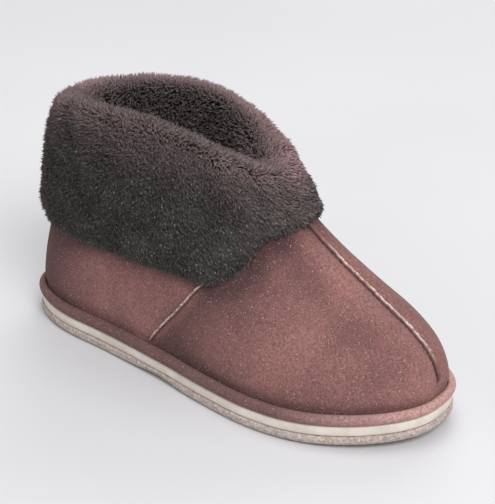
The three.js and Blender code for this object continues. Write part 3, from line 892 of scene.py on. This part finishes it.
wisp_length, wisp_radius = 5.4, 0.5
wisp = wisp_template(wisp_length, wisp_radius)

# %% Wool finish for the wisps
# The last colour is the mauve of the painted sheen.
fur_finish = wool("fur_wisps", (67, 68, 65), (99, 99, 95), (160, 140, 140), sheen_tone=(178, 147, 150))

# %% Painted sheen on the wool
def painted_sheen_at(v, angle):
    """Lighter wool as painted sheen on the roll, far rim, throat, heel, mouth and hem's fringe."""
    front = np.clip((np.cos(angle) - 0.55) / 0.4, 0, 1)
    roll = bell(v, 5.9, 1.3)
    heel = np.clip((-0.7 - np.cos(angle)) / 0.3, 0, 1)
    hem = bell(v, 0, 0.45 + 0.8 * heel)
    far_rim = 0.55 * roll * (np.sin(angle) > 0)
    inside = 0.14 * np.clip(v - 7.6, 0, 1)
    sheen_share = 0.41 * roll + far_rim + 0.16 * front + 0.36 * hem + 0.18 * heel + inside
    return np.clip(sheen_share, 0, 0.95)

# %% Patch of the cuff that carries wisps
# How far the wisps lie down towards the hem, from the hem over the roll to the mouth.
comb_down = table("v share", (0, 0.66), (1, 0.62), (2.5, 0.55), (3.6, 0.5), (4.5, 0.43),
                  (6.2, 0.25), (7.6, 0.02), (9.4, -0.22))

def fur_patch(name, v_low, v_high, rows):
    """An open patch of the wool's surface, with the wisps' direction stored on its points."""
    vs = np.linspace(v_low, v_high, rows)
    points, combs, sheen_amounts = [], [], []
    for v in vs:
        point, out, climb = fur_frame(np.full(round_steps, v), turn)
        points.append(point - out * core_inset)
        swirl = 0.22 * np.sin(9 * turn + 2.6 * v) * np.sin(4 * turn - 1.9 * v)
        lift = 0.16 * np.sin(13 * turn - 3.1 * v)
        lean = np.interp(v, comb_down["v"], comb_down["share"])
        side = unit(np.cross(out, climb))
        combs.append(unit(out * (1 - lean + lift[:, None]) - climb * lean + side * swirl[:, None]))
        sheen_amounts.append(painted_sheen_at(v, turn))
    patch = new_piece(name, np.concatenate(points), bands(rows, round_steps))
    store(patch, "comb", combs, "FLOAT_VECTOR")
    # The painted sheen is stored on each point.
    store(patch, "painted_sheen", sheen_amounts)
    return patch

# %% Node tree that plants the wisps
def random_vector(tree, spread):
    """A random vector for each point, between minus and plus the spread."""
    chance = tree.nodes.new("FunctionNodeRandomValue")
    chance.data_type = "FLOAT_VECTOR"
    chance.inputs[0].default_value = tuple(-s for s in spread)
    chance.inputs[1].default_value = spread
    return chance

def planting_tree():
    tree, source, result = node_group("plant_wisps", {
        "Patch": "Geometry", "Wisp": "Object", "Density": "Float", "Seed": "Int",
        "Finish": "Material"}, "Wool")
    scatter = tree.nodes.new("GeometryNodeDistributePointsOnFaces")
    comb = tree.nodes.new("GeometryNodeInputNamedAttribute")
    comb.data_type = "FLOAT_VECTOR"
    comb.inputs["Name"].default_value = "comb"
    stray = random_vector(tree, (0.3, 0.3, 0.3))
    lean = tree.nodes.new("ShaderNodeVectorMath")
    align = tree.nodes.new("FunctionNodeAlignRotationToVector")
    align.axis = "Z"
    spin = random_vector(tree, (0, 0, 1.3))
    twist = tree.nodes.new("FunctionNodeRotateRotation")
    twist.rotation_space = "LOCAL"
    size = tree.nodes.new("FunctionNodeRandomValue")
    size.data_type = "FLOAT"
    size.inputs[2].default_value, size.inputs[3].default_value = 0.76, 1.14
    link = tree.links.new
    link(source.outputs["Patch"], scatter.inputs["Mesh"])
    link(source.outputs["Density"], scatter.inputs["Density"])
    link(source.outputs["Seed"], scatter.inputs["Seed"])
    link(comb.outputs["Attribute"], lean.inputs[0])
    link(stray.outputs[0], lean.inputs[1])
    link(lean.outputs[0], align.inputs["Vector"])
    link(align.outputs["Rotation"], twist.inputs["Rotation"])
    link(spin.outputs[0], twist.inputs["Rotate By"])
    plant = copy_and_dress(tree, source, result, "Wisp", scatter, twist)
    link(size.outputs[1], plant.inputs["Scale"])
    return tree

planting = planting_tree()

# %% Plant them
belts = (("fur_hem", 0.1, 1.9, 24, 11), ("fur_side", 1.9, 3.2, 20, 12),
         ("fur_shoulder", 3.2, 4.1, 16, 13), ("fur_roll", 4.1, 5.0, 16, 16),
         ("fur_crest", 5.0, 7.6, 30, 14), ("fur_mouth", 7.6, 10.6, 24, 15))
thick, thin = 2.1e6, 0.9e6  # wisps on a square metre, outside and down the mouth
for name, low, high, rows, seed in belts:
    grow(name, fur_patch(name + "_patch", low, high, rows), planting, "cuff_fur", Wisp=wisp,
         Density=thin if name == "fur_mouth" else thick, Seed=seed, Finish=fur_finish)
bpy.data.objects.remove(wisp)

# %% [markdown]
# ## Floor and light
# A plain pale floor, one broad soft light from the toe's side and above, weaker ones from the
# heel, from overhead and from behind, and a pale sky keep the shadows soft, as in a product
# picture. The one behind also picks out the far rim of the wool.

# %% Floor
floor = mesh_object("floor", [(-4, -4, 0), (4, -4, 0), (4, 4, 0), (-4, 4, 0)], [(0, 1, 2, 3)])
floor_finish, tree, shader = finish_named("floor")
haze = noise(tree, 3, 2)
shade = ramp(tree, haze, "Fac", (0.3, colour((208, 208, 211))), (0.7, colour((214, 214, 217))))
join(tree, shade, "Color", shader, "Base Color")
tune(shader, roughness=0.8)
floor.data.materials.append(floor_finish)

# %% Lights
def soft_light(name, place, size, watts):
    lamp = bpy.data.lights.new(name, "AREA")
    lamp.shape, lamp.size, lamp.energy = "DISK", size, watts
    light = bpy.data.objects.new(name, lamp)
    light.location = place
    light.rotation_euler = (eye_aim - light.location).to_track_quat("-Z", "Y").to_euler()
    bpy.context.scene.collection.objects.link(light)

soft_light("key_light", (1.15, -0.7, 1.45), 1.0, 25)
soft_light("fill_light", (-0.9, -1.3, 0.9), 1.4, 2)
soft_light("top_light", (-0.1, 0.1, 1.8), 1.2, 9)
soft_light("back_light", (-0.5, 1.2, 1.2), 1.2, 9)
world = bpy.data.worlds.new("studio")
bpy.context.scene.world = world
world.use_nodes = True
world.node_tree.nodes["Background"].inputs["Color"].default_value = grey(1)
world.node_tree.nodes["Background"].inputs["Strength"].default_value = 0.42
bpy.context.scene.view_settings.view_transform = "Standard"

# %% Update the scene
bpy.context.view_layer.update()
